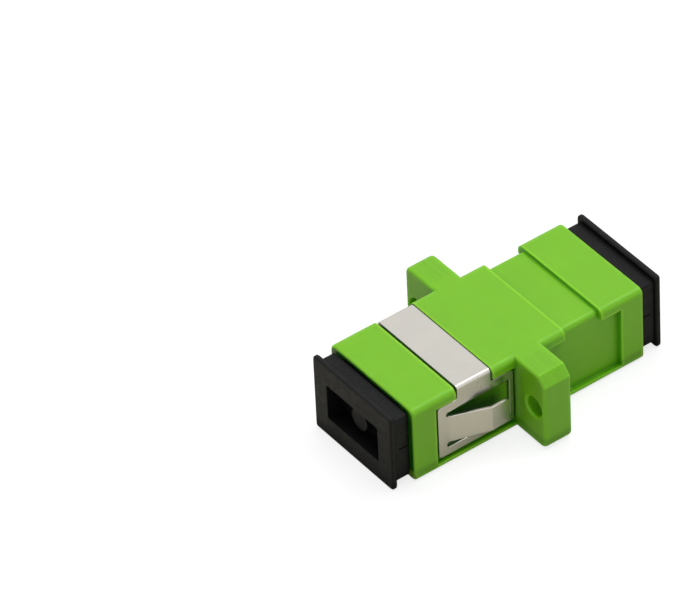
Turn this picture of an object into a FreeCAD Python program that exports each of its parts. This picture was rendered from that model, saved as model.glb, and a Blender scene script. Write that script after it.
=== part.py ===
"""SC simplex fibre adapter: flanged housing, sprung panel clip, sleeve, latches and two dust caps.

Millimetres. The origin is the middle of the ferrule bore, where two plugs meet. +X runs along
the bore towards the front (user's) end, +Y across the flange, and +Z is up, away from the
keyways. The clip is on the rear half, which goes through the panel's cut-out.
"""
import FreeCAD, Part
import math
import os

from FreeCAD import Vector

# ---- Housing: one moulding ------------------------------------------------------------
body_length = 28.3
body_width = 13.1
body_height = 8.95
top_edge_round = 0.73          # long edges beside the top face
bottom_edge_round = 0.5        # long edges beside the keyway face
body_end_round = 0.3

flange_width = 22.0
flange_thickness = 3.35
flange_corner_cut_y = 1.0      # bevel on one outer corner of each lug, diagonally opposite
flange_corner_cut_z = 1.05
flange_corner_round = 0.8
flange_rim_round = 0.4
screw_hole_diameter = 2.35
screw_hole_bevel = 0.15
screw_edge_distance = 1.75     # from the hole's axis to the lug's outer edge

strap_groove_depth = 0.4       # the clip can go on either half, so both halves are grooved
strap_groove_width = 4.48
strap_groove_start = 4.43      # distance from the middle of the body
groove_floor_round = 0.6

side_recess_depth = 0.6        # shallow panels in the narrow sides, which take the clip's plates
side_recess_end = 11.35        # distance from the middle of the body
side_recess_top_lip = 1.22
side_recess_bottom_lip = 0.58

# ---- Receptacles for the plugs --------------------------------------------------------
receptacle_width = 9.05
receptacle_height = 7.45
receptacle_corner_round = 0.35
receptacle_mouth_bevel = 0.25
keyway_width = 1.95
keyway_start = 6.15            # distance of its round end from the middle of the body
ledge_thickness = 1.0          # rib round the middle that the two latch holders seat on
ledge_depth = 0.7

# ---- Panel clip: one folded strip of spring steel --------------------------------------
strip_thickness = 0.3
strip_clearance = 0.03         # between the strip and the moulding it lies on
strap_width = 4.09
strap_end_clearance = 0.05     # to the groove's wall beside the flange
bend_inner_round = 0.15
plate_end_clearance = 0.4      # from the side plate to the recess's end
plate_flange_clearance = 0.12  # from the side plate to the flange
plate_level_clearance = 0.38   # above and below the side plate, inside the recess
plate_corner_round = 0.35
neck_corner_round = 0.25
plate_end_band = 0.97
plate_end_bar = 0.5
plate_top_rail = 1.0
plate_bottom_rail = 0.9
tongue_slot_width = 0.63
tongue_tip_gap = 1.04          # from the tip to the end bar
tongue_lift = 1.5              # of the outer face at the fold, above the side plate
tongue_tip_length = 2.2        # last stretch, folded back towards the body
tongue_tip_fold = 22.8         # degrees, from the tongue's slope
tongue_tip_round = 0.5         # corners of the tip
tongue_edge_slope = 1.8        # degrees by which each long edge closes in towards the tip

# ---- Latch holders and alignment sleeve -------------------------------------------------
ferrule_bore = 2.5
sleeve_diameter = 3.2
sleeve_length = 11.4
sleeve_slit = 0.4
sleeve_running_clearance = 0.1
sleeve_end_play = 0.15
holder_tube_diameter = 4.9
holder_lip_bore = 2.9
holder_lip_length = 0.9
holder_end_chamfer = 0.3
holder_joint_gap = 0.02        # from each holder to the middle plane where they meet
latch_plate_thickness = 1.0
latch_plate_clearance = 0.03   # round the plate, inside the receptacle
latch_arm_offset = 3.0         # from the axis to the arm's inner face
latch_arm_thickness = 0.8
latch_arm_width = 2.8
latch_arm_reach = 9.2          # distance of the hook's end from the middle of the body
hook_height = 0.55
hook_length = 1.3
hook_nose = 0.3                # flat at the top of the hook
latch_arm_tip_thickness = 0.53  # where the hook's ramp ends

# ---- Dust caps: two alike ----------------------------------------------------------------
cap_plate_width = 12.36
cap_plate_height = 9.1
cap_plate_thickness = 0.63
cap_plate_corner_round = 0.4
cap_plate_edge_bevel = 0.15
cap_collar_width = 11.7
cap_collar_height = 7.85
cap_collar_length = 1.65
cap_collar_round = 0.3
cap_seat_gap = 0.15            # from the collar to the housing's end face
cap_insert_clearance = 0.05    # sliding fit in the receptacle
cap_insert_reach = 6.1         # distance of the insert's inner end from the middle of the body
cap_insert_wall = 0.95
cap_insert_corner_round = 0.3
cap_insert_lead_in = 0.25      # bevel at the insert's inner end
cap_web_thickness = 1.0        # between the front pocket and the hollow of the insert
cap_pocket_width = 8.1
cap_pocket_height = 4.28
cap_pocket_depth = 1.95
cap_pocket_corner_round = 0.2
cap_boss_diameter = 2.45
cap_boss_height = 1.1
cap_latch_clearance = 0.35     # between a latch arm and the slot it stands in
cap_mark_width = 0.15          # witness mark of the mould in the collar's side
cap_mark_length = 1.05
cap_mark_depth = 0.15
cap_mark_setback = 0.1         # from the collar's edge beside the housing

# ---- Places worked out from the sizes above -------------------------------------------
body_end = body_length / 2
half_width = body_width / 2
half_height = body_height / 2
flange_face = flange_thickness / 2
flange_edge = flange_width / 2
screw_offset = flange_edge - screw_edge_distance

strap_groove_stop = strap_groove_start + strap_groove_width
groove_floor = half_height - strap_groove_depth
recess_floor = half_width - side_recess_depth
recess_top = half_height - side_recess_top_lip
recess_bottom = -half_height + side_recess_bottom_lip

ledge_face = ledge_thickness / 2
latch_plate_face = ledge_face + latch_plate_thickness
holder_bore = sleeve_diameter + 2 * sleeve_running_clearance
holder_lip_face = sleeve_length / 2 + sleeve_end_play
holder_end = holder_lip_face + holder_lip_length
latch_arm_outside = latch_arm_offset + latch_arm_thickness

strap_inner = strap_groove_start + strap_end_clearance
strap_outer = strap_inner + strap_width
strip_inside = recess_floor + strip_clearance
strip_outside = strip_inside + strip_thickness
strap_top = groove_floor + strip_clearance + strip_thickness
plate_outer = side_recess_end - plate_end_clearance
plate_inner = flange_face + plate_flange_clearance
plate_top = recess_top - plate_level_clearance
plate_bottom = recess_bottom + plate_level_clearance
window_inner = plate_inner + plate_end_bar
window_outer = plate_outer - plate_end_band
window_top = plate_top - plate_top_rail
window_bottom = plate_bottom + plate_bottom_rail
tongue_top = window_top - tongue_slot_width
tongue_bottom = window_bottom + tongue_slot_width
tongue_root = window_outer - tongue_slot_width / 2
tongue_tip = window_inner + tongue_tip_gap

cap_insert_width = receptacle_width - 2 * cap_insert_clearance
cap_insert_height = receptacle_height - 2 * cap_insert_clearance
cap_collar_face = body_end + cap_seat_gap
cap_plate_back = cap_collar_face + cap_collar_length
cap_face = cap_plate_back + cap_plate_thickness
cap_mark_start = cap_collar_face + cap_mark_setback
cap_pocket_floor = cap_face - cap_pocket_depth
cap_hollow_end = cap_pocket_floor - cap_web_thickness

overcut = 1.0                  # how far a cutting solid runs past the face that it opens
buried = 0.3                   # how far a solid runs into the one that it is joined to
tiny = 1e-6                    # for telling whether two places are the same


# ---- Small helpers ---------------------------------------------------------------------
def box(x_span, y_span, z_span):
    """A box from three (low, high) pairs."""
    low = Vector(x_span[0], y_span[0], z_span[0])
    return Part.makeBox(x_span[1] - x_span[0], y_span[1] - y_span[0], z_span[1] - z_span[0], low)


def rod(x_span, diameter, y=0.0, z=0.0):
    """A round bar along X."""
    return Part.makeCylinder(diameter / 2, x_span[1] - x_span[0], Vector(x_span[0], y, z), Vector(1, 0, 0))


def runs_along(edge, direction):
    """Whether an edge is straight and parallel to a direction."""
    if edge.Curve.TypeId != "Part::GeomLine":
        return False
    return edge.tangentAt(edge.FirstParameter).cross(direction).Length < tiny


def edges_at_x(solid, x):
    """The edges that lie wholly in the plane at x."""
    return [e for e in solid.Edges if abs(e.BoundBox.XMin - x) < tiny and abs(e.BoundBox.XMax - x) < tiny]


def rounded_bar(x_span, width, height, radius):
    """A rectangular bar along X, centred on the axis, with its four long edges rounded."""
    bar = box(x_span, (-width / 2, width / 2), (-height / 2, height / 2))
    return bar.makeFillet(radius, [e for e in bar.Edges if runs_along(e, Vector(1, 0, 0))])


def prism(outline, direction):
    """A solid swept from a closed list of corner points."""
    return Part.Face(Part.makePolygon(outline + outline[:1])).extrude(direction)


def far_side(path, thickness):
    """The other face of a strip that follows a path in a plane of constant z, in reverse order."""
    normals = [Vector(start.y - end.y, end.x - start.x, 0).normalize() for start, end in zip(path, path[1:])]
    offsets = [normals[0]]
    for before, after in zip(normals, normals[1:]):
        offsets.append((before + after) / (1 + before.dot(after)))
    offsets.append(normals[-1])
    return [point + offset * thickness for point, offset in zip(path, offsets)][::-1]


def mirrored(solid, normal):
    """The solid's image in the plane through the origin with the given normal."""
    return solid.mirror(Vector(0, 0, 0), normal)


def both_halves(solid):
    """A solid and its image on the other half of the body."""
    return [solid, mirrored(solid, Vector(1, 0, 0))]


def both_sides(solid):
    """A solid and its image on the other narrow side."""
    return [solid, mirrored(solid, Vector(0, 1, 0))]


# ---- Housing ---------------------------------------------------------------------------
def plain_body():
    """The moulding's rectangular barrel, with rounded long edges and softened ends."""
    bar = box((-body_end, body_end), (-half_width, half_width), (-half_height, half_height))
    for level, radius in ((half_height, top_edge_round), (-half_height, bottom_edge_round)):
        bar = bar.makeFillet(radius, [e for e in bar.Edges if runs_along(e, Vector(1, 0, 0))
                                      and abs(e.CenterOfMass.z - level) < tiny
                                      and abs(e.CenterOfMass.y) > half_width - tiny])
    return bar.makeFillet(body_end_round, edges_at_x(bar, -body_end) + edges_at_x(bar, body_end))


def flange():
    """The flange plate, with bevels on two diagonally opposite corners of its outline."""
    corners = [(-flange_edge, -half_height),
               (flange_edge - flange_corner_cut_y, -half_height),
               (flange_edge, -half_height + flange_corner_cut_z)]
    outline = [Vector(-flange_face, turn * y, turn * z) for turn in (1, -1) for y, z in corners]
    plate = prism(outline, Vector(flange_thickness, 0, 0))
    square_corners = [e for e in plate.Edges if runs_along(e, Vector(1, 0, 0))
                      and abs(e.CenterOfMass.y) > flange_edge - tiny
                      and abs(e.CenterOfMass.z) > half_height - tiny]
    plate = plate.makeFillet(flange_corner_round, square_corners)
    rim = edges_at_x(plate, -flange_face) + edges_at_x(plate, flange_face)
    return plate.makeFillet(flange_rim_round, rim)


def strap_groove():
    """What is cut away for the strap: across the top, and down both narrow sides."""
    x_span = (strap_groove_start, strap_groove_stop)
    reach = half_width + overcut
    around = box(x_span, (-reach, reach), (recess_bottom, half_height + overcut))
    core = box(x_span, (-recess_floor, recess_floor), (-half_height, groove_floor))
    top_edges = [e for e in core.Edges if runs_along(e, Vector(1, 0, 0)) and e.BoundBox.ZMin > 0]
    return around.cut(core.makeFillet(groove_floor_round, top_edges))


def side_recess():
    """The shallow panel in one narrow side of the front half."""
    y_span = (recess_floor, half_width + overcut)
    return box((flange_face, side_recess_end), y_span, (recess_bottom, recess_top))


def receptacle():
    """The front half's socket for a plug, with a bevelled mouth."""
    socket = rounded_bar((ledge_face, body_end + overcut), receptacle_width, receptacle_height,
                         receptacle_corner_round)
    mouth_start = body_end - receptacle_mouth_bevel
    mouth = rounded_bar((mouth_start, body_end + overcut), receptacle_width + 2 * receptacle_mouth_bevel,
                        receptacle_height + 2 * receptacle_mouth_bevel,
                        receptacle_corner_round + receptacle_mouth_bevel)
    mouth = mouth.makeChamfer(receptacle_mouth_bevel, edges_at_x(mouth, mouth_start))
    return socket.fuse(mouth)


def keyway():
    """The slot through the bottom wall, with a round inner end."""
    x_start = keyway_start + keyway_width / 2
    z_start = -half_height - overcut
    z_end = -receptacle_height / 2 + overcut
    straight = box((x_start, body_end + overcut), (-keyway_width / 2, keyway_width / 2), (z_start, z_end))
    round_end = Part.makeCylinder(keyway_width / 2, z_end - z_start, Vector(x_start, 0, z_start))
    return straight.fuse(round_end)


def screw_hole(y):
    """The hole through a lug, with a small bevel at each mouth."""
    radius = screw_hole_diameter / 2
    bevel = Part.makeCone(radius, radius + screw_hole_bevel, screw_hole_bevel,
                          Vector(flange_face - screw_hole_bevel, y, 0), Vector(1, 0, 0))
    return rod((-flange_thickness, flange_thickness), screw_hole_diameter, y).fuse(both_halves(bevel))


def housing():
    """Barrel and flange, with grooves, recesses, two receptacles, keyways and screw holes."""
    body = plain_body().fuse(flange())

    cuts = both_halves(strap_groove())
    for recess in both_sides(side_recess()):
        cuts += both_halves(recess)
    cuts += both_halves(receptacle())
    cuts += both_halves(keyway())
    cuts.append(rounded_bar((-ledge_thickness, ledge_thickness), receptacle_width - 2 * ledge_depth,
                            receptacle_height - 2 * ledge_depth, receptacle_corner_round))
    for y in (-screw_offset, screw_offset):
        cuts.append(screw_hole(y))
    return body.cut(cuts).removeSplitter()


# ---- Panel clip ------------------------------------------------------------------------
def clip_strap():
    """The strap over the top, its two bends, and the necks down to the side plates."""
    x_span = (-strap_outer, -strap_inner)
    outside = box(x_span, (-strip_outside, strip_outside), (plate_top - buried, strap_top))
    inside = box(x_span, (-strip_inside, strip_inside), (recess_bottom, strap_top - strip_thickness))
    outer_bends, inner_bends = [[e for e in block.Edges if runs_along(e, Vector(1, 0, 0))
                                 and e.CenterOfMass.z > groove_floor] for block in (outside, inside)]
    outside = outside.makeFillet(bend_inner_round + strip_thickness, outer_bends)
    return outside.cut(inside.makeFillet(bend_inner_round, inner_bends))


def clip_side_plate():
    """The side plate on the -Y side, with the window that the tongue is cut from."""
    plate = box((-plate_outer, -plate_inner), (-strip_outside, -strip_inside), (plate_bottom, plate_top))
    plate = plate.makeFillet(plate_corner_round, [e for e in plate.Edges if runs_along(e, Vector(0, 1, 0))])
    y_span = (-strip_outside - overcut, -strip_inside + overcut)
    cuts = [box((-tongue_root, -window_inner), y_span, (window_bottom, window_top))]
    for z in (tongue_top + tongue_slot_width / 2, tongue_bottom - tongue_slot_width / 2):
        cuts.append(Part.makeCylinder(tongue_slot_width / 2, y_span[1] - y_span[0],
                                      Vector(-tongue_root, y_span[0], z), Vector(0, 1, 0)))
    return plate.cut(cuts)


def clip_tongue():
    """The tongue on the -Y side: it narrows and rises towards the flange, and its tip is folded back."""
    fold_x = -tongue_tip - tongue_tip_length
    slope = math.atan2(tongue_lift, fold_x + tongue_root)
    tip_fall = tongue_tip_length * math.tan(math.radians(tongue_tip_fold) - slope)
    outer_face = [Vector(-window_outer, -strip_outside, tongue_bottom),
                  Vector(-tongue_root, -strip_outside, tongue_bottom),
                  Vector(fold_x, -strip_outside - tongue_lift, tongue_bottom),
                  Vector(-tongue_tip, -strip_outside - tongue_lift + tip_fall, tongue_bottom)]
    bent_strip = prism(outer_face + far_side(outer_face, strip_thickness),
                       Vector(0, 0, tongue_top - tongue_bottom))
    close_in = (tongue_root - window_inner) * math.tan(math.radians(tongue_edge_slope))
    plan = [Vector(-window_outer, 0, tongue_bottom),
            Vector(-tongue_root, 0, tongue_bottom),
            Vector(-window_inner, 0, tongue_bottom + close_in),
            Vector(-window_inner, 0, tongue_top - close_in),
            Vector(-tongue_root, 0, tongue_top),
            Vector(-window_outer, 0, tongue_top)]
    tongue = bent_strip.common(prism(plan, Vector(0, -body_width, 0)))
    tip_corners = [e for e in tongue.Edges if e.CenterOfMass.x > -tongue_tip - strip_thickness
                   and e.Length < 2 * strip_thickness]
    return tongue.makeFillet(tongue_tip_round, tip_corners)


def round_neck_corners(clip):
    """Ease the inner corner where each neck meets the top edge of its side plate."""
    corners = [e for e in clip.Edges if runs_along(e, Vector(0, 1, 0))
               and abs(e.CenterOfMass.z - plate_top) < tiny
               and min(abs(e.CenterOfMass.x + strap_inner), abs(e.CenterOfMass.x + strap_outer)) < tiny]
    return clip.makeFillet(neck_corner_round, corners)


def panel_clip():
    """The whole strip: strap, two side plates and two tongues."""
    pieces = both_sides(clip_side_plate()) + both_sides(clip_tongue())
    clip = clip_strap().fuse(pieces).removeSplitter()
    return round_neck_corners(clip)


# ---- Latch holders and sleeve ------------------------------------------------------------
def latch_arm():
    """The arm on the +Y side of the front holder, ending in an inward hook."""
    root_x = latch_plate_face - buried
    hook_foot = latch_arm_reach - hook_length
    outline = [Vector(root_x, latch_arm_outside, -latch_arm_width / 2),
               Vector(root_x, latch_arm_offset, -latch_arm_width / 2),
               Vector(hook_foot, latch_arm_offset, -latch_arm_width / 2),
               Vector(hook_foot, latch_arm_offset - hook_height, -latch_arm_width / 2),
               Vector(hook_foot + hook_nose, latch_arm_offset - hook_height, -latch_arm_width / 2),
               Vector(latch_arm_reach, latch_arm_outside - latch_arm_tip_thickness, -latch_arm_width / 2),
               Vector(latch_arm_reach, latch_arm_outside, -latch_arm_width / 2)]
    return prism(outline, Vector(0, 0, latch_arm_width))


def front_latch_holder():
    """Plate, half of the sleeve's tube with a retaining lip, and two hooked arms."""
    plate = rounded_bar((ledge_face, latch_plate_face), receptacle_width - 2 * latch_plate_clearance,
                        receptacle_height - 2 * latch_plate_clearance, receptacle_corner_round)
    tube = rod((holder_joint_gap, holder_end), holder_tube_diameter)
    tube = tube.makeChamfer(holder_end_chamfer, edges_at_x(tube, holder_end))
    holder = plate.fuse([tube] + both_sides(latch_arm()))
    sleeve_space = rod((-overcut, holder_lip_face), holder_bore)
    lip_space = rod((0, holder_end + overcut), holder_lip_bore)
    return holder.cut([sleeve_space, lip_space]).removeSplitter()


def alignment_sleeve():
    """A thin split tube that lines up the two ferrules."""
    x_span = (-sleeve_length / 2, sleeve_length / 2)
    tube = rod(x_span, sleeve_diameter).cut(rod(x_span, ferrule_bore))
    slit = box((-sleeve_length, sleeve_length), (-sleeve_slit / 2, sleeve_slit / 2), (0, sleeve_diameter))
    return tube.cut(slit)


# ---- Dust caps -------------------------------------------------------------------------
def cap_insert():
    """The hollow plug in the receptacle, slotted for the latch arms."""
    insert = rounded_bar((cap_insert_reach, cap_collar_face + buried), cap_insert_width, cap_insert_height,
                         cap_insert_corner_round)
    insert = insert.makeChamfer(cap_insert_lead_in, edges_at_x(insert, cap_insert_reach))
    hollow = rounded_bar((cap_insert_reach - overcut, cap_hollow_end), cap_insert_width - 2 * cap_insert_wall,
                         cap_insert_height - 2 * cap_insert_wall, cap_insert_corner_round)
    slot_half = latch_arm_width / 2 + cap_latch_clearance
    latch_slot = box((cap_insert_reach - overcut, latch_arm_reach + cap_latch_clearance),
                     (-receptacle_width, receptacle_width), (-slot_half, slot_half))
    return insert.cut([hollow, latch_slot])


def front_dust_cap():
    """Face plate with a pocket and boss, collar, and the insert behind them."""
    plate = rounded_bar((cap_plate_back, cap_face), cap_plate_width, cap_plate_height,
                        cap_plate_corner_round)
    rims = edges_at_x(plate, cap_plate_back) + edges_at_x(plate, cap_face)
    plate = plate.makeChamfer(cap_plate_edge_bevel, rims)
    collar = rounded_bar((cap_collar_face, cap_plate_back + buried), cap_collar_width, cap_collar_height,
                         cap_collar_round)
    cap = plate.fuse([collar, cap_insert()])

    pocket = rounded_bar((cap_pocket_floor, cap_face + overcut), cap_pocket_width, cap_pocket_height,
                         cap_pocket_corner_round)
    boss = rod((cap_pocket_floor - buried, cap_pocket_floor + cap_boss_height), cap_boss_diameter)
    collar_side = cap_collar_width / 2
    mark = box((cap_mark_start, cap_mark_start + cap_mark_length),
               (-collar_side - overcut, -collar_side + cap_mark_depth),
               (-cap_mark_width / 2, cap_mark_width / 2))
    return cap.cut([pocket, mark]).fuse(boss).removeSplitter()


# ---- Parts -----------------------------------------------------------------------------
def main():
    front_holder = front_latch_holder()
    front_cap = front_dust_cap()
    parts = {
        "housing": housing(),
        "panel_clip": panel_clip(),
        "front_latch_holder": front_holder,
        "rear_latch_holder": mirrored(front_holder, Vector(1, 0, 0)),
        "alignment_sleeve": alignment_sleeve(),
        "front_dust_cap": front_cap,
        "rear_dust_cap": mirrored(front_cap, Vector(1, 0, 0)),
    }
    os.makedirs("parts", exist_ok=True)
    for name, solid in parts.items():
        size = solid.BoundBox
        print(f"{name}: {len(solid.Solids)} solid, valid {solid.isValid()}, {solid.Volume:.2f} mm3, "
              f"{size.XLength:.2f} x {size.YLength:.2f} x {size.ZLength:.2f} mm")
        solid.exportStep(os.path.join("parts", name + ".step"))


main()
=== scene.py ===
"""Looks for the SC fibre adapter: moulded plastic, rolled spring steel and a plain white studio.

Metres, in the part's own frame: +X along the bore to the front, +Y across the flange, +Z up.
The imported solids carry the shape. This script gives each its material, and adds camera and light.
"""
import math

import bpy
from mathutils import Matrix, Vector


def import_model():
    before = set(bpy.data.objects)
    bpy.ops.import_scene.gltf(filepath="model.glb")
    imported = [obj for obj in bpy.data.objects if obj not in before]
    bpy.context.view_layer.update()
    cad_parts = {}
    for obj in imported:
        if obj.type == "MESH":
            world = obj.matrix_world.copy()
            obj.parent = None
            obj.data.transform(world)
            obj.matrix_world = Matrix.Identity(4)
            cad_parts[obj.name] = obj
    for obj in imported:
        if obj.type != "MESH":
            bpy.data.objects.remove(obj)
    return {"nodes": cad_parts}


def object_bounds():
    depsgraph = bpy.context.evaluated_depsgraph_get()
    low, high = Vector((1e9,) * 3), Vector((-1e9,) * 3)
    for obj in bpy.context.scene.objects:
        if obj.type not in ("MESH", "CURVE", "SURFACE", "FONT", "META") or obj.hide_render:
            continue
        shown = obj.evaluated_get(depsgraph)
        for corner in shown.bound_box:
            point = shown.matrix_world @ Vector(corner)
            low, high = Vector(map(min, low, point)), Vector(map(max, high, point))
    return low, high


MM = 0.001

# ---- Camera -----------------------------------------------------------------------------
VIEW_AZIMUTH = -35.23              # degrees, from straight in front of the -Y side to the rear cap
VIEW_ELEVATION = 41.15
VIEW_ROLL = 2.9                    # clockwise
VIEW_DISTANCE = 725.1 * MM
LENS = 385.4
SENSOR_WIDTH = 36.0
AIM_LEFT = 13.59 * MM              # the view's centre, measured from the middle of the bore
AIM_UP = 5.38 * MM

# ---- Colours, linear ----------------------------------------------------------------------
LIME = (0.205, 0.560, 0.008)
LIME_EDGE_LIGHT = (0.31, 0.76, 0.02)     # painted light on thin edges, standing in for light that passes through them
LIME_CORNER_SHADE = (0.065, 0.37, 0.001)   # painted shade in the housing's own corners, a strong dark green
LIME_COVER_SHADE = (0.010, 0.115, 0.001)  # painted shade close behind another piece
CAP_BLACK = (0.0046, 0.0047, 0.0052)
STEEL = (0.66, 0.635, 0.585)
NATURAL = (0.74, 0.70, 0.58)
ZIRCONIA = (0.86, 0.85, 0.80)
PAPER = (0.63, 0.61, 0.51)         # a little warm, as it tints what it lights
PAPER_SEEN = (0.31, 0.31, 0.31)    # where the camera sees it, which keeps its shadow light

# ---- Places on the housing, millimetres ---------------------------------------------------
FLANGE_HALF = 1.75                 # half of the flange's thickness, along X
FLANGE_BORDER = 0.1
LUGS_BEGIN, LUGS_FULL = 6.6, 7.2   # how far out along Y the lugs' tool lines fade in
SHADE_BEGINS, SHADE_FULL = -4.1, -3.1  # how far up along Z the shade of other pieces fades in

# ---- Reach of the nodes that find corners, edges and cover for painted shade and light, millimetres ---
EDGE_REACH = 0.35                  # through a thin edge
FOLD_REACH = 1.5                   # into the housing's own corners
COVER_REACH = 1.7                  # to another piece
POCKET_REACH = 3.0                 # across a cap's pocket

# ---- Light, with places and sizes in metres -----------------------------------------------
AMBIENT_LEVEL = 0.22               # the world as it lights dull surfaces
GLOSSY_LEVEL = 1.0                 # the world as it shows in shiny ones
FLOOR_LIFT = 0.78                  # what makes the floor white where it is seen, near the part
FLOOR_LIFT_FAR = 0.97              # and far from it, where the lamps no longer reach
LIFT_STARTS, LIFT_ENDS = 0.12, 0.45
FLOOR_MIRRORED = 0.02              # the share of it that shows in shiny surfaces
FLOOR_HALF = 4.0
KEY_PLACE, KEY_SIZE, KEY_WATTS = (0.12, 0.06, 0.60), 0.60, 3.60
FILL_PLACE, FILL_SIZE, FILL_WATTS = (-0.42, -0.44, 0.24), 0.45, 0.30
GLINT_PLACE, GLINT_SIZE, GLINT_WATTS = (0.27, -0.06, 0.55), 0.24, 0.50


# ---- Node helpers -------------------------------------------------------------------------
MIX_FIRST, MIX_SECOND, MIX_RESULT = 6, 7, 2  # a Mix node's sockets for colours


def is_socket(value):
    """Whether a value is another node's output, and not a number or a colour."""
    return isinstance(value, bpy.types.NodeSocket)


def feed(tree, socket, value):
    """Link another node's output to a socket, or set the socket's own value."""
    if is_socket(value):
        tree.links.new(value, socket)
    else:
        socket.default_value = value


def add_math(tree, operation, *values):
    """The result of a Math node; each value is a socket or a number."""
    node = tree.nodes.new("ShaderNodeMath")
    node.operation = operation
    for slot, value in enumerate(values):
        feed(tree, node.inputs[slot], value)
    return node.outputs[0]


class Nodes:
    """A material's node tree, with short ways to add and link nodes."""

    def __init__(self, name):
        self.material = bpy.data.materials.new(name)
        self.material.use_nodes = True
        self.tree = self.material.node_tree
        self.shader = self.tree.nodes["Principled BSDF"]
        self.place = self.add("ShaderNodeTexCoord").outputs["Object"]

    def add(self, kind, inputs=(), **settings):
        """Add a node, set its properties, and link or set its inputs, given as (socket, value) pairs."""
        node = self.tree.nodes.new(kind)
        for key, value in settings.items():
            setattr(node, key, value)
        for socket, value in inputs:
            feed(self.tree, node.inputs[socket], value)
        return node

    def maths(self, operation, *values):
        """The result of a Math node in this material."""
        return add_math(self.tree, operation, *values)

    def noise(self, scale, detail=2.0, stretch=(1, 1, 1), rough=0.5):
        """A noise value, with scale in features per millimetre, stretched along each axis."""
        scaled = tuple(scale * s / MM for s in stretch)
        place = self.add("ShaderNodeMapping", [("Vector", self.place), ("Scale", scaled)]).outputs[0]
        return self.add("ShaderNodeTexNoise", [("Vector", place), ("Scale", 1.0), ("Detail", detail),
                                               ("Roughness", rough)]).outputs["Fac"]

    def remap(self, value, low, high, from_low=0.3, from_high=0.7):
        """A value spread from one range to another, and held inside it."""
        return self.add("ShaderNodeMapRange", [("Value", value), ("From Min", from_low),
                                               ("From Max", from_high), ("To Min", low),
                                               ("To Max", high)]).outputs[0]

    def within(self, value, low, high, soft):
        """1 where a value lies between low and high, in millimetres, with soft borders."""
        rise = self.remap(value, 0, 1, (low - soft) * MM, (low + soft) * MM)
        fall = self.remap(value, 1, 0, (high - soft) * MM, (high + soft) * MM)
        return self.maths("MULTIPLY", rise, fall)

    def blend(self, factor, first, second):
        """A colour between two others."""
        mix = self.add("ShaderNodeMix", [("Factor", factor)], data_type="RGBA")
        for slot, colour in ((MIX_FIRST, first), (MIX_SECOND, second)):
            feed(self.tree, mix.inputs[slot], colour if is_socket(colour) else (*colour, 1.0))
        return mix.outputs[MIX_RESULT]

    def bump(self, height, depth, normal):
        """A normal pressed in or raised by a height value, with depth in millimetres."""
        return self.add("ShaderNodeBump", [("Height", height), ("Distance", depth * MM), ("Strength", 1.0),
                                           ("Normal", normal)]).outputs[0]

    def soft_edges(self, radius):
        """A normal that rounds every sharp edge by a radius in millimetres."""
        return self.add("ShaderNodeBevel", [("Radius", radius * MM)], samples=6).outputs[0]

    def openness(self, reach, own=False, inside=False):
        """How open the surroundings are within a reach in millimetres, from 1 down to 0 in a crevice.

        With own, only the piece itself counts. With inside, it looks into the solid: 0 at a thin edge.
        """
        return self.add("ShaderNodeAmbientOcclusion", [("Distance", reach * MM)], samples=8, inside=inside,
                        only_local=own).outputs["AO"]

    def connect(self, **sockets):
        """Link or set the shader's inputs, named with underscores for spaces."""
        for key, value in sockets.items():
            feed(self.tree, self.shader.inputs[key.replace("_", " ")], value)
        return self.material


def shade(colour, factor):
    """A colour made lighter or darker."""
    return tuple(c * factor for c in colour)


# ---- Materials ----------------------------------------------------------------------------
def lime_plastic():
    """Glossy lime moulding with faint flow mottling, tool lines round the flange and soft edges, with
    painted light on thin edges and painted shade in its corners and behind other pieces.
    """
    m = Nodes("lime_plastic")
    mottle = m.noise(0.22, 3.0)
    fine = m.noise(6.0, 2.0)
    colour = m.blend(m.remap(mottle, 0, 1), shade(LIME, 0.965), shade(LIME, 1.03))
    colour = m.blend(m.remap(fine, 0, 0.25), colour, shade(LIME, 0.96))

    along = m.add("ShaderNodeSeparateXYZ", [("Vector", m.place)]).outputs
    on_lugs = m.remap(m.maths("ABSOLUTE", along["Y"]), 0, 1, LUGS_BEGIN * MM, LUGS_FULL * MM)
    on_flange = m.within(along["X"], -FLANGE_HALF, FLANGE_HALF, FLANGE_BORDER)
    on_both = m.maths("MULTIPLY", on_flange, on_lugs)
    tool_lines = m.maths("MULTIPLY", m.noise(4.0, 1.0, (1.0, 0.02, 0.02)), on_both)
    colour = m.blend(m.remap(tool_lines, 0, 0.6), colour, shade(LIME, 0.86))

    # painted light: thin edges are lightened towards a paler lime
    thin = m.remap(m.openness(EDGE_REACH, own=True, inside=True), 1, 0, 0.55, 0.98)
    colour = m.blend(thin, colour, LIME_EDGE_LIGHT)
    # painted shade: the housing's own corners are darkened
    corner_shade = m.remap(m.openness(FOLD_REACH, own=True), 0.9, 0, 0.40, 0.92)
    colour = m.blend(corner_shade, colour, LIME_CORNER_SHADE)
    # painted shade: darker where another piece covers the housing, fading out near the floor
    others = m.maths("SUBTRACT", m.openness(COVER_REACH, own=True), m.openness(COVER_REACH))
    above_floor = m.remap(along["Z"], 0, 1, SHADE_BEGINS * MM, SHADE_FULL * MM)
    cover_shade = m.maths("MULTIPLY", m.remap(others, 0, 1, 0.04, 0.24), above_floor)
    colour = m.blend(cover_shade, colour, LIME_COVER_SHADE)

    normal = m.soft_edges(0.17)
    normal = m.bump(m.noise(0.9, 2.0), 0.0012, normal)
    normal = m.bump(tool_lines, 0.018, normal)
    normal = m.bump(m.noise(9.0, 2.0), 0.0006, normal)
    rough = m.remap(m.noise(1.6, 3.0), 0.34, 0.38)
    return m.connect(Base_Color=colour, Roughness=rough, Normal=normal, IOR=1.5, Specular_IOR_Level=0.46,
                     Subsurface_Weight=0.55, Subsurface_Radius=(0.5, 1.0, 0.08), Subsurface_Scale=1.2 * MM)


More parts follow.
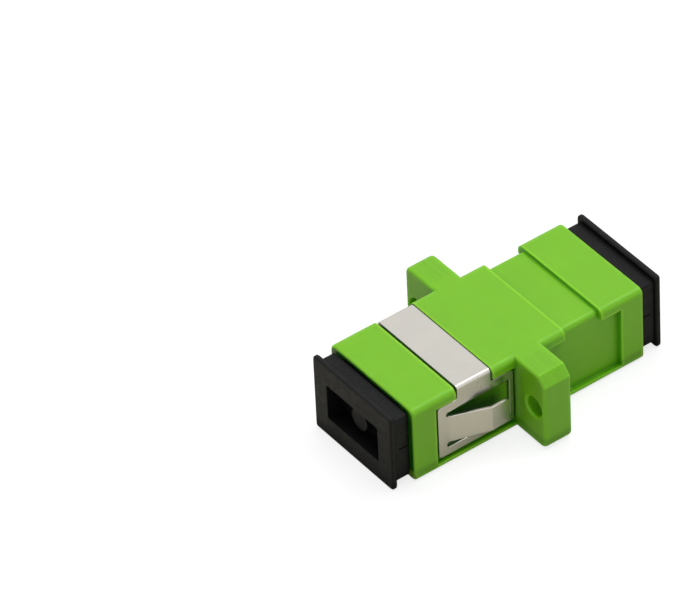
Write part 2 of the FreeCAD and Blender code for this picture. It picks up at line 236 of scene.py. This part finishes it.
def spring_steel():
    """Bright rolled strip: fine lines along its length, faint smudges and blunted cut edges."""
    m = Nodes("spring_steel")
    rolled = m.noise(20.0, 2.0, (1.0, 0.03, 0.03))
    smudge = m.noise(0.25, 3.0)
    colour = m.blend(m.remap(rolled, 0, 1), shade(STEEL, 0.98), shade(STEEL, 1.015))
    colour = m.blend(m.remap(smudge, 0, 0.5), colour, shade(STEEL, 0.90))
    rough = m.maths("ADD", m.remap(smudge, 0.20, 0.27), m.remap(rolled, -0.01, 0.015))
    normal = m.bump(rolled, 0.0001, m.soft_edges(0.14))
    normal = m.bump(m.noise(0.12, 0.0), 0.006, normal)
    normal = m.bump(m.noise(0.5, 1.0), 0.0012, normal)
    return m.connect(Base_Color=colour, Metallic=1.0, Roughness=rough, Normal=normal)


def black_plastic():
    """Black moulding with a fine spark-eroded grain and a satin shine that fades in its pockets as painted
    shade.
    """
    m = Nodes("black_plastic")
    grain = m.noise(7.0, 3.0)
    wear = m.noise(0.4, 4.0, rough=0.6)
    colour = m.blend(m.remap(grain, 0, 1), shade(CAP_BLACK, 0.6), shade(CAP_BLACK, 2.2))
    colour = m.blend(m.remap(wear, 0, 0.35), colour, shade(CAP_BLACK, 1.8))
    normal = m.bump(grain, 0.017, m.soft_edges(0.12))
    normal = m.bump(m.noise(0.7, 2.0), 0.006, normal)
    rough = m.remap(m.noise(1.2, 3.0), 0.40, 0.55)
    # painted shade: the shine is turned down inside the caps' pockets
    shine = m.remap(m.openness(POCKET_REACH), 0.04, 0.17, 0.40, 0.85)
    return m.connect(Base_Color=colour, Roughness=rough, Normal=normal, IOR=1.5, Specular_IOR_Level=shine)


def natural_plastic():
    """Undyed engineering plastic with a waxy, slightly see-through look."""
    m = Nodes("natural_plastic")
    colour = m.blend(m.remap(m.noise(0.3, 3.0), 0, 1), shade(NATURAL, 0.94), NATURAL)
    normal = m.bump(m.noise(6.0, 2.0), 0.0015, m.soft_edges(0.08))
    rough = m.remap(m.noise(1.5, 2.0), 0.38, 0.50)
    return m.connect(Base_Color=colour, Roughness=rough, Normal=normal, Subsurface_Weight=0.2,
                     Subsurface_Radius=(1.0, 0.8, 0.5), Subsurface_Scale=0.5 * MM)


def white_zirconia():
    """Ground ceramic: nearly smooth, with fine rings round it from grinding."""
    m = Nodes("white_zirconia")
    rings = m.noise(18.0, 1.0, (1.0, 0.05, 0.05))
    colour = m.blend(m.remap(m.noise(0.8, 2.0), 0, 1), shade(ZIRCONIA, 0.97), ZIRCONIA)
    normal = m.bump(rings, 0.0004, m.soft_edges(0.04))
    return m.connect(Base_Color=colour, Roughness=m.remap(rings, 0.14, 0.22), Normal=normal, IOR=2.1)


def dress(frame):
    """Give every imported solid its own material."""
    cap = black_plastic()
    latch = natural_plastic()
    looks = {
        "housing": lime_plastic(),
        "panel_clip": spring_steel(),
        "front_latch_holder": latch,
        "rear_latch_holder": latch,
        "alignment_sleeve": white_zirconia(),
        "front_dust_cap": cap,
        "rear_dust_cap": cap,
    }
    for name, material in looks.items():
        mesh = frame["nodes"][name].data
        mesh.materials.clear()
        mesh.materials.append(material)


# ---- Studio -------------------------------------------------------------------------------
def where_seen(tree, mirrored):
    """1 for what the camera sees directly or through glass, and a level of its own in reflections."""
    path = tree.nodes.new("ShaderNodeLightPath")
    direct = add_math(tree, "MAXIMUM", path.outputs["Is Camera Ray"], path.outputs["Is Transmission Ray"])
    reflected = add_math(tree, "MULTIPLY", path.outputs["Is Glossy Ray"], mirrored)
    return add_math(tree, "MAXIMUM", direct, reflected)


def world():
    """An even, pale surround: white to the eye and in reflections, dimmer as a light."""
    studio = bpy.data.worlds.new("studio")
    studio.use_nodes = True
    bpy.context.scene.world = studio
    tree = studio.node_tree
    glow = tree.nodes["Background"]
    glow.inputs["Color"].default_value = (1, 1, 1, 1)
    strength = add_math(tree, "MAXIMUM", where_seen(tree, GLOSSY_LEVEL), AMBIENT_LEVEL)
    tree.links.new(strength, glow.inputs["Strength"])


def floor(low_z):
    """A wide pale floor, at the lowest point of the part, that still takes its soft shadow."""
    mesh = bpy.data.meshes.new("floor")
    signs = ((-1, -1), (1, -1), (1, 1), (-1, 1))
    mesh.from_pydata([(FLOOR_HALF * x, FLOOR_HALF * y, low_z) for x, y in signs], [], [(0, 1, 2, 3)])
    ground = bpy.data.objects.new("floor", mesh)
    bpy.context.scene.collection.objects.link(ground)
    m = Nodes("floor_paper")
    seen = m.add("ShaderNodeLightPath").outputs["Is Camera Ray"]
    paper = m.blend(m.noise(0.05, 2.0), shade(PAPER, 0.98), shade(PAPER, 1.02))
    away = m.add("ShaderNodeVectorMath", [(0, m.place)], operation="LENGTH").outputs["Value"]
    lift = m.remap(away, FLOOR_LIFT, FLOOR_LIFT_FAR, LIFT_STARTS, LIFT_ENDS)
    m.connect(Base_Color=m.blend(seen, paper, PAPER_SEEN), Roughness=0.9, Specular_IOR_Level=0.1,
              Emission_Color=(1, 1, 1, 1),
              Emission_Strength=m.maths("MULTIPLY", where_seen(m.tree, FLOOR_MIRRORED), lift))
    mesh.materials.append(m.material)


def softbox(name, place, size, watts, glint=False):
    """A square area lamp that faces the middle of the part.

    A glint shows only in reflections, and any other lamp shows in none.
    """
    lamp = bpy.data.lights.new(name, "AREA")
    lamp.size = size
    lamp.energy = watts
    holder = bpy.data.objects.new(name, lamp)
    holder.location = place
    holder.rotation_euler = (-Vector(place)).to_track_quat("-Z", "Y").to_euler()
    holder.visible_glossy = glint
    holder.visible_diffuse = not glint
    bpy.context.scene.collection.objects.link(holder)


def camera():
    """The camera, at the angle that the part was seen from."""
    azimuth, elevation = math.radians(VIEW_AZIMUTH), math.radians(VIEW_ELEVATION)
    back = Vector((math.sin(azimuth) * math.cos(elevation), -math.cos(azimuth) * math.cos(elevation),
                   math.sin(elevation)))
    turn = (-back).to_track_quat("-Z", "Y").to_matrix() @ Matrix.Rotation(math.radians(-VIEW_ROLL), 3, "Z")
    right, up = turn.col[0], turn.col[1]
    place = back * VIEW_DISTANCE - right * AIM_LEFT + up * AIM_UP
    data = bpy.data.cameras.new("camera")
    data.lens = LENS
    data.sensor_width = SENSOR_WIDTH
    data.clip_start = VIEW_DISTANCE / 10
    data.clip_end = VIEW_DISTANCE * 10
    holder = bpy.data.objects.new("camera", data)
    holder.matrix_world = Matrix.Translation(place) @ turn.to_4x4()
    bpy.context.scene.collection.objects.link(holder)
    bpy.context.scene.camera = holder


# ---- Scene --------------------------------------------------------------------------------
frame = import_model()
cad_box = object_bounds()
dress(frame)
floor(cad_box[0].z)
world()
softbox("key", KEY_PLACE, KEY_SIZE, KEY_WATTS)
softbox("fill", FILL_PLACE, FILL_SIZE, FILL_WATTS)
softbox("glint", GLINT_PLACE, GLINT_SIZE, GLINT_WATTS, glint=True)
camera()
bpy.context.scene.view_settings.view_transform = "Standard"
